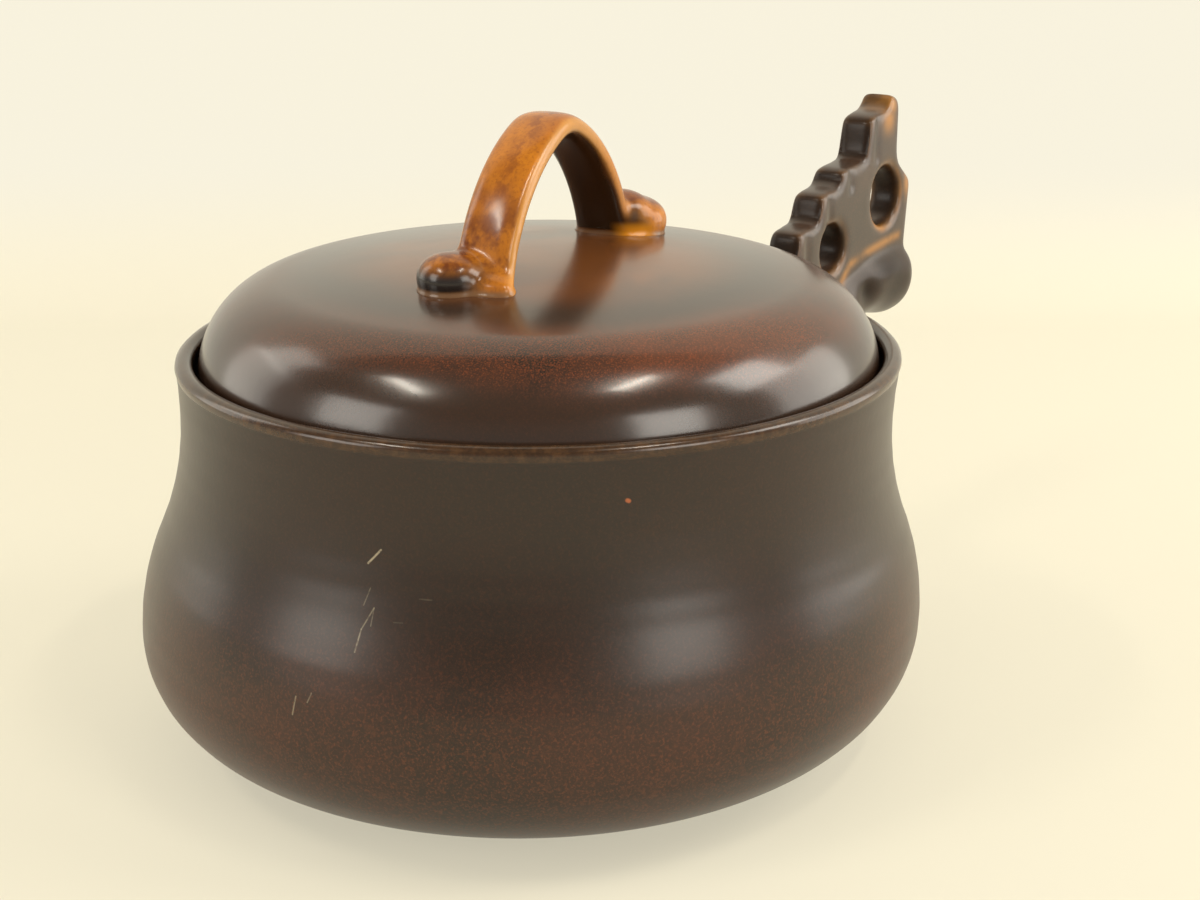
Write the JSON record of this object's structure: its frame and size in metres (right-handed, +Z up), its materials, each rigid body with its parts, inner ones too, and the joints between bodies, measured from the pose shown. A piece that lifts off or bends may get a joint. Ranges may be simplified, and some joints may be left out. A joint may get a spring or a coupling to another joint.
{
  "type": "covered saucepan",
  "caption": "Round bellied ceramic saucepan with a recessed domed lid, a loop handle on the lid and a stepped, pierced fin handle on one side.",
  "frame": {"origin": "centre of the flat base, on the pot's axis, at the surface that the pot stands on", "axes": "+Z up along the pot's axis, +X out along the side handle, +Y to the left when looking out along the handle"},
  "size_m": [0.3167, 0.2114, 0.1674],
  "materials": {
    "pot_glaze": "satin gloss dark brown glaze with fine rust speckle",
    "lid_glaze": "satin gloss warm brown glaze with fine rust speckle",
    "loop_glaze": "gloss amber glaze that breaks dark brown at the toes"
  },
  "bodies": {
    "pot": {"pot_body": "pot_glaze", "pot_handle": "pot_glaze"},
    "lid": {"lid_shell": "lid_glaze", "lid_handle": "loop_glaze"}
  },
  "joints": [
    {"name": "lid_lift", "type": "slide", "parent": "pot", "child": "lid", "axis": [0, 0, 1], "range_m": [0, 0.06]}
  ]
}
